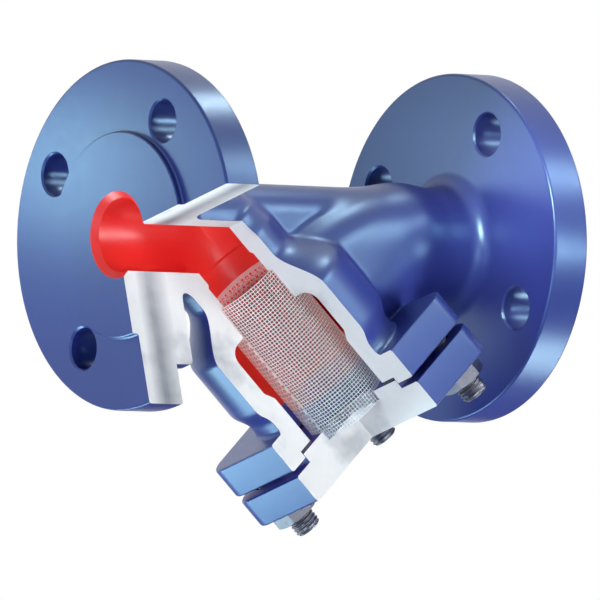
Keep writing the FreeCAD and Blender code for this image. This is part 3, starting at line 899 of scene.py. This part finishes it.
def screen_material(name, outside, inside, scale):
    """Bright wire or sheet, with painted light and shade on it: the outer side glows a little in its own
    colour, and the inner side glows pale red near the mouth and deeper in is a dark red painted shade with a
    painted red reflection of the casting. Past the screen's foot the outer side turns pale blue and the inner
    side dark blue.

    The side is told from the normal against the direction out from the branch's axis, and the
    painted shade starts a few millimetres below the mouth."""
    shader = Shader(name)
    from_axis = shader.node("ShaderNodeVectorMath", operation="ADD")
    shader.wire(shader.coords, from_axis, 0)
    from_axis.inputs[1].default_value = (-ELBOW_X * MM, 0, 0)
    turned = shader.node("ShaderNodeVectorRotate", rotation_type="Y_AXIS")
    turned.inputs["Angle"].default_value = -BRANCH_ANGLE
    shader.wire(from_axis.outputs["Vector"], turned, "Vector")
    radial = shader.node("ShaderNodeVectorMath", operation="MULTIPLY")
    shader.wire(turned.outputs["Vector"], radial, 0)
    radial.inputs[1].default_value = (0, 1, 1)
    back = shader.node("ShaderNodeVectorRotate", rotation_type="Y_AXIS")
    back.inputs["Angle"].default_value = BRANCH_ANGLE
    shader.wire(radial.outputs["Vector"], back, "Vector")
    unit = shader.node("ShaderNodeVectorMath", operation="NORMALIZE")
    shader.wire(back.outputs["Vector"], unit, 0)
    facing = shader.node("ShaderNodeVectorMath", operation="DOT_PRODUCT")
    shader.wire(unit.outputs["Vector"], facing, 0)
    shader.wire(shader.node("ShaderNodeTexCoord").outputs["Normal"], facing, 1)
    outer = shader.node("ShaderNodeMapRange")
    outer.inputs["From Min"].default_value = -0.2
    outer.inputs["From Max"].default_value = 0.2
    shader.wire(facing.outputs["Value"], outer, "Value")
    outer_share = outer.outputs["Result"]
    tone = shader.noise(scale, 3)
    mouth = ELBOW_X * COS_B + SEAT_DEPTH
    change = ELBOW_X * COS_B + 80
    depth = shader.along(ALONG_BRANCH, mouth + 3, mouth + 9)
    foot = shader.along(ALONG_BRANCH, change, change + 3)

    def toned(colour):
        return shader.ramp(tone, [(0.3, tuple(c * 0.85 for c in colour)), (0.7, colour)])

    # Painted light and shade: outer side pale (pale blue past the foot) with a little glow; inner side a pale
    # red glow near the mouth, then dark red painted shade, dark blue past the foot.
    lit = shader.mix(foot, toned(outside), toned((0.74, 0.85, 0.93)))
    painted_inner_shade = shader.mix(foot, toned(inside), toned((0.04, 0.05, 0.16)))
    glowing = toned((0.85, 0.5, 0.5))
    inner = shader.mix(depth, glowing, painted_inner_shade)
    shader.wire(shader.mix(outer_share, inner, lit), shader.surface, "Base Color")
    shader.wire(shader.mix(outer_share, glowing, lit), shader.surface, "Emission Color")
    # The glow is 0.2 on the whole outer side and on the inner side at the mouth, and fades to nothing on the
    # inner side deeper in.
    shade = shader.node("ShaderNodeMath", operation="SUBTRACT")
    shader.wire(depth, shade, 0)
    shader.wire(outer_share, shade, 1)
    shader.wire(shader.spread(shade.outputs["Value"], 0.2, 0.0), shader.surface, "Emission Strength")
    shader.surface.inputs["Metallic"].default_value = 0.1
    shader.wire(shader.spread(tone, 0.32, 0.5), shader.surface, "Roughness")
    shader.bump(shader.noise(scale * 4, 3), 0.1, 0.0002)
    return shader.material


def gasket_material():
    shader = Shader("gasket_sheet")
    tone = shader.noise(300, 4)
    colour = shader.ramp(tone, [(0.3, (0.015, 0.015, 0.04)), (0.7, (0.04, 0.04, 0.08))])
    shader.wire(colour, shader.surface, "Base Color")
    shader.wire(shader.spread(tone, 0.5, 0.8), shader.surface, "Roughness")
    shader.bump(shader.noise(900, 3), 0.3, 0.0002)
    return shader.material


PAINT = paint_material()
SECTION = section_material()
INTERIOR = interior_material()
# The second colour of each screen is the dark red painted shade of its inner side.
MESH_METAL = screen_material("woven_wire", (0.97, 0.88, 0.87), (0.22, 0.06, 0.055), 200)
BASKET_METAL = screen_material("perforated_sheet", (0.95, 0.93, 0.88), (0.3, 0.1, 0.09), 160)
ZINC = metal_material("zinc", (0.25, 0.255, 0.3), 0.28, 180)
GASKET = gasket_material()
SOCKET = socket_material()


def surface_kinds(thing, hollow):
    """Which material each face has: 0 paint, 1 sawn face, 2 inside."""
    mesh = thing.data
    total = len(mesh.polygons)
    centres = np.zeros(total * 3)
    normals = np.zeros(total * 3)
    mesh.polygons.foreach_get("center", centres)
    mesh.polygons.foreach_get("normal", normals)
    centres = centres.reshape(-1, 3) / MM
    normals = normals.reshape(-1, 3)
    x, y, z = centres.T
    a, p = from_elbow(x, z)
    near = 0.03
    middle = (np.abs(y) < near) & (normals[:, 1] < -0.99)
    level = (np.abs(z) < near) & (normals[:, 2] < -0.99) & (x < ELBOW_X + 1) & (y < near)
    slope = (np.abs(p) < near) & (normals @ np.array(ACROSS_BRANCH) < -0.99) & (y < near)
    # The plate's upper face is one ring, so its middle lies in the chamber, but it is outside.
    plate_top = (np.abs(a - FLANGE_DEPTH) < near) & (normals @ np.array(ALONG_BRANCH) < -0.99)
    kinds = np.zeros(total, int)
    kinds[hollow(x, y, z) & ~plate_top] = 2
    kinds[middle | level | slope] = 1
    return kinds


def in_casting_hollow(x, y, z):
    a, p = from_elbow(x, z)
    across = np.sqrt(y * y + p * p)
    radius = np.interp(a, *np.array([
        (-40, 0), (-PORT_R, 0), (0, PORT_R),
        (THROAT_START, PORT_R), (THROAT_START + THROAT_R - PORT_R, THROAT_R),
        (SEAT_DEPTH, THROAT_R), (SEAT_DEPTH + 0.01, GUIDE_R), (GUIDE_END, GUIDE_R),
        (GUIDE_END + 0.01, CHAMBER_R), (CHAMBER_FULL, CHAMBER_R), (CHAMBER_NARROW, CHAMBER_MOUTH_R),
        (RECESS_FLOOR - 0.2, CHAMBER_MOUTH_R), (RECESS_FLOOR - 0.1, RECESS_R), (FLANGE_END - 0.1, RECESS_R),
        (FLANGE_END - 0.05, 0), (200, 0)]).T)
    in_branch = across < radius + 0.15
    about = np.sqrt(y * y + z * z)
    between_faces = (x > INLET_FACE + 0.1) & (x < OUTLET_FACE - 0.1)
    near_port = (about < PORT_R + 0.15) & between_faces
    near_chamfer = (about < PORT_R + MOUTH_CHAMFER - 0.05) & between_faces
    in_inlet = near_port & (x < ELBOW_X + 17)
    in_outlet = near_port & (x > TURN_X - 10)
    mouth_in = near_chamfer & (x < INLET_FACE + MOUTH_CHAMFER)
    mouth_out = near_chamfer & (x > OUTLET_FACE - MOUTH_CHAMFER)
    along = (TURN_X - x) * math.cos(DROP_ANGLE) - z * math.sin(DROP_ANGLE)
    off = (TURN_X - x) * math.sin(DROP_ANGLE) + z * math.cos(DROP_ANGLE)
    in_drop = (np.sqrt(y * y + off * off) < PORT_R + 0.15) & (along > -2) & (along < DROP_REACH + 6.2)
    return in_branch | in_inlet | in_outlet | in_drop | mouth_in | mouth_out


def in_cover_socket(x, y, z):
    a, p = from_elbow(x, z)
    return (np.sqrt(y * y + p * p) < RECESS_R + 1) & (a < SOCKET_FLOOR - 0.1)


def in_socket_floor(x, y, z):
    a, _ = from_elbow(x, z)
    return np.abs(a - SOCKET_FLOOR) < 0.05


def cover_kinds(thing):
    kinds = surface_kinds(thing, in_cover_socket)
    floor = surface_kinds(thing, in_socket_floor) == 2
    kinds[floor & (kinds == 0)] = 3
    return kinds


def dress(thing, materials, kinds=None):
    thing.data.materials.clear()
    for material in materials:
        thing.data.materials.append(material)
    if kinds is not None:
        thing.data.polygons.foreach_set("material_index", kinds.tolist())


casting = make_casting()
dress(casting, [PAINT, SECTION, INTERIOR], surface_kinds(casting, in_casting_hollow))
smooth(casting)
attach(casting, "casting")
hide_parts("body")

cover = make_cover()
dress(cover, [PAINT, SECTION, INTERIOR, SOCKET], cover_kinds(cover))
smooth(cover)
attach(cover, "cover")
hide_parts("cover")

gasket = make_gasket()
dress(gasket, [GASKET])
smooth(gasket)
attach(gasket, "cover")
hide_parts("cover_gasket")

sleeve = make_sleeve()
dress(sleeve, [MESH_METAL])
sleeve.data.shade_smooth()
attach(sleeve, "screen")
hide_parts("mesh_sleeve")

basket = make_basket()
dress(basket, [BASKET_METAL])
smooth(basket)
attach(basket, "screen")
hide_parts("support_basket")

for corner, spot in CORNERS.items():
    stud = make_stud("threaded_stud_" + corner, *spot)
    dress(stud, [ZINC])
    smooth(stud, 50)
    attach(stud, "casting")
    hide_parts("stud_" + corner)
    nut = make_nut("hexagon_nut_" + corner, *spot)
    dress(nut, [ZINC])
    smooth(nut)
    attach(nut, "nut_" + corner)
    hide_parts("nut_" + corner)


# Camera: a long lens, because the photograph is drawn almost without perspective

CAMERA_RIGHT = Vector((0.7887, -0.5947, -0.1559))
CAMERA_UP = Vector((-0.0295, -0.2900, 0.9566))
CAMERA_BACK = Vector((-0.6141, -0.7498, -0.2463))
VIEW_WIDTH = 257.1
LENS = 1600.0
SENSOR = 36.0
AIM_RIGHT = -0.2
AIM_UP = -24.6
distance = VIEW_WIDTH * MM * LENS / SENSOR
middle = Vector(((INLET_FACE + OUTLET_FACE) / 2 * MM, 0, 0))
aim = middle + CAMERA_RIGHT * (AIM_RIGHT * MM) + CAMERA_UP * (AIM_UP * MM)
camera_data = bpy.data.cameras.new("camera")
camera_data.lens = LENS
camera_data.sensor_width = SENSOR
camera_data.clip_end = 40
camera = bpy.data.objects.new("camera", camera_data)
turn = Matrix((CAMERA_RIGHT, CAMERA_UP, CAMERA_BACK)).transposed().to_4x4()
camera.matrix_world = Matrix.Translation(aim + CAMERA_BACK * distance) @ turn
bpy.context.scene.collection.objects.link(camera)
bpy.context.scene.camera = camera


# Light and floor: places and widths of the lamps are metres, powers are watts and a beam is the
# angle that a lamp's light fans out to, in degrees


def area_light(name, place, target, width, watts, colour, beam=180):
    data = bpy.data.lights.new(name, "AREA")
    data.shape = "DISK"
    data.size = width
    data.energy = watts
    data.color = colour
    data.spread = math.radians(beam)
    lamp = bpy.data.objects.new(name, data)
    direction = Vector(target) - Vector(place)
    aimed = direction.to_track_quat("-Z", "Y").to_matrix().to_4x4()
    lamp.matrix_world = Matrix.Translation(place) @ aimed
    bpy.context.scene.collection.objects.link(lamp)


centre = (middle.x, 0, -0.02)
area_light("front", (-0.32, -0.66, -0.36), centre, 0.2, 1.35, (0.92, 0.97, 1.0))
area_light("left", (-0.7, -0.06, -0.14), centre, 0.2, 1.6, (0.72, 0.88, 1.0))
area_light("belly", (-0.27, 0.32, -0.28), (-0.13, 0.02, -0.06), 0.14, 1.25, (0.7, 0.95, 1.0))
area_light("inlet_glow", (-0.32, 0.176, 0.089), (-0.197, 0.026, 0.04), 0.06, 0.075, (0.7, 1.0, 1.0))
area_light("outlet_glow", (-0.26, 0.24, 0.12), (-0.018, -0.06, 0.01), 0.08, 0.06, (0.85, 1.0, 1.0))
area_light("outlet_near", (-0.15, -0.17, 0.04), (-0.018, -0.06, 0.005), 0.05, 0.045, (1.0, 0.98, 0.72), 40)
area_light("hole_side", (0.36, -0.67, -0.22), (-0.17, 0, -0.01), 0.2, 0.06, (0.92, 0.97, 1.0), 18)
area_light("rim_side", (0.45, -0.64, 0.36), centre, 0.24, 2.0, (0.92, 0.98, 1.0))
area_light("section_fill", (-0.03, -0.5, -0.28), (-0.115, 0, -0.08), 0.1, 0.05, (0.96, 0.98, 1.0), 26)
area_light("rim_inlet", (0.03, -0.1, 0.31), (-0.185, -0.06, 0.04), 0.05, 0.25, (0.9, 0.98, 1.0))
area_light("rim_outlet", (0.205, -0.03, -0.335), (-0.01, -0.04, -0.06), 0.09, 1.0, (0.9, 0.98, 1.0))

def mixed(tree, factor, first, second):
    node = tree.nodes.new("ShaderNodeMixShader")
    tree.links.new(factor, node.inputs["Fac"])
    tree.links.new(first, node.inputs[1])
    tree.links.new(second, node.inputs[2])
    return node.outputs["Shader"]


def background(tree, colour, strength):
    node = tree.nodes.new("ShaderNodeBackground")
    node.inputs["Color"].default_value = (*colour, 1)
    node.inputs["Strength"].default_value = strength
    return node.outputs["Background"]


def larger(tree, first, second):
    node = tree.nodes.new("ShaderNodeMath")
    node.operation = "MAXIMUM"
    tree.links.new(first, node.inputs[0])
    tree.links.new(second, node.inputs[1])
    return node.outputs[0]


def make_world():
    """White to the eye, in reflections and through glass, and a weak sky for the light."""
    world = bpy.data.worlds.new("studio")
    bpy.context.scene.world = world
    world.use_nodes = True
    tree = world.node_tree
    tree.nodes.clear()
    out = tree.nodes.new("ShaderNodeOutputWorld")
    ray = tree.nodes.new("ShaderNodeLightPath").outputs
    seen = larger(tree, larger(tree, ray["Is Camera Ray"], ray["Is Glossy Ray"]), ray["Is Transmission Ray"])
    sky = background(tree, (0.7, 0.66, 1.0), 0.1)
    white = background(tree, (1, 1, 1), 1.0)
    tree.links.new(mixed(tree, seen, sky, white), out.inputs["Surface"])


def make_floor():
    """A pale floor under the lowest pose, clear from below because the camera looks up from there.

    It shows the object's shadow but casts none, so that the lamps under it reach the object."""
    level = -246.0
    reach = 3000
    corners = [(-reach, -reach, level), (reach, -reach, level), (reach, reach, level), (-reach, reach, level)]
    floor = new_object("floor", corners, [(0, 1, 2, 3)])
    material = bpy.data.materials.new("pale_floor")
    material.use_nodes = True
    tree = material.node_tree
    tree.nodes.clear()
    out = tree.nodes.new("ShaderNodeOutputMaterial")
    matt = tree.nodes.new("ShaderNodeBsdfDiffuse")
    matt.inputs["Color"].default_value = (0.9, 0.9, 0.9, 1)
    glow = tree.nodes.new("ShaderNodeEmission")
    glow.inputs["Strength"].default_value = 0.6
    both = tree.nodes.new("ShaderNodeAddShader")
    tree.links.new(matt.outputs["BSDF"], both.inputs[0])
    tree.links.new(glow.outputs["Emission"], both.inputs[1])
    clear = tree.nodes.new("ShaderNodeBsdfTransparent")
    eye = tree.nodes.new("ShaderNodeLightPath").outputs["Is Camera Ray"]
    below = tree.nodes.new("ShaderNodeNewGeometry").outputs["Backfacing"]
    upper = mixed(tree, eye, matt.outputs["BSDF"], both.outputs["Shader"])
    tree.links.new(mixed(tree, below, upper, clear.outputs["BSDF"]), out.inputs["Surface"])
    floor.data.materials.append(material)
    floor.visible_shadow = False
    return floor


make_world()
make_floor()

bpy.context.scene.view_settings.view_transform = "Standard"
